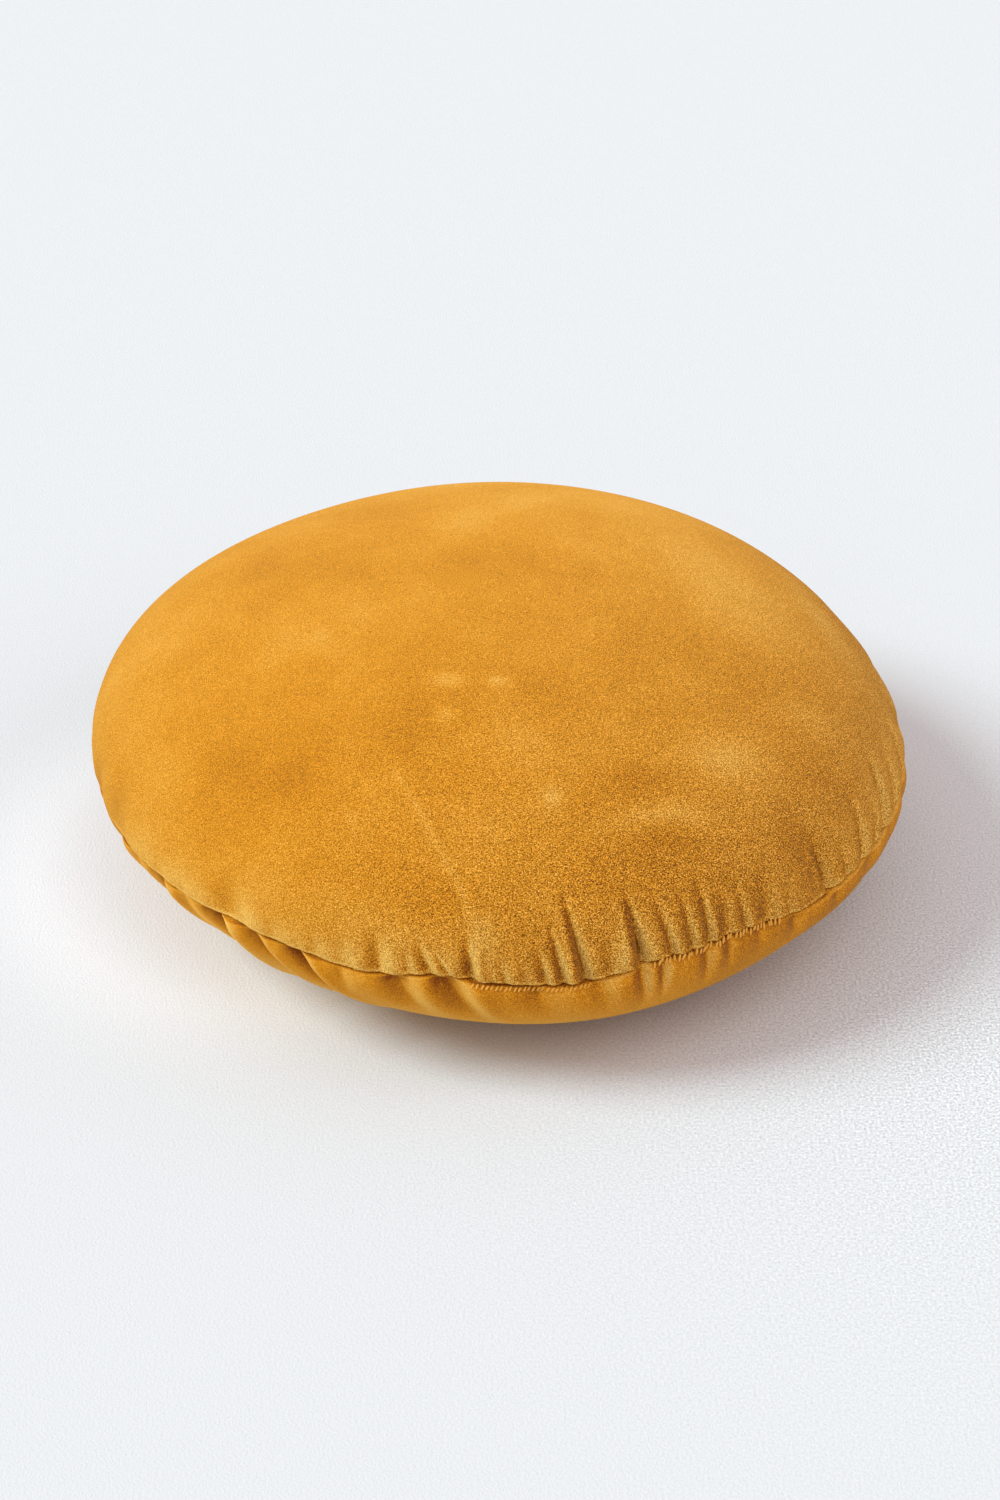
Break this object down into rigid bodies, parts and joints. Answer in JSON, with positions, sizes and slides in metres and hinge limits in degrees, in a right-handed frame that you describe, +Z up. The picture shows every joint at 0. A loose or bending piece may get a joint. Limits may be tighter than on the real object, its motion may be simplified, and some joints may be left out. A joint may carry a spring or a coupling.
{
  "type": "round cushion",
  "caption": "Plump round cushion in plain velvet: a domed face and a flattened underside, joined by a puckered knife-edge seam.",
  "frame": {"origin": "on the surface that the cushion lies on, under the middle of its outline", "axes": "+Z up, out of the domed face; -Y is the front, where the picture's camera stands; +X is to that camera's right"},
  "size_m": [0.4026, 0.4012, 0.152],
  "materials": {
    "velvet": "ochre cotton velvet, short upright pile, matt with a soft sheen at grazing angles"
  },
  "bodies": {
    "root": {"cushion": "velvet"}
  },
  "joints": []
}
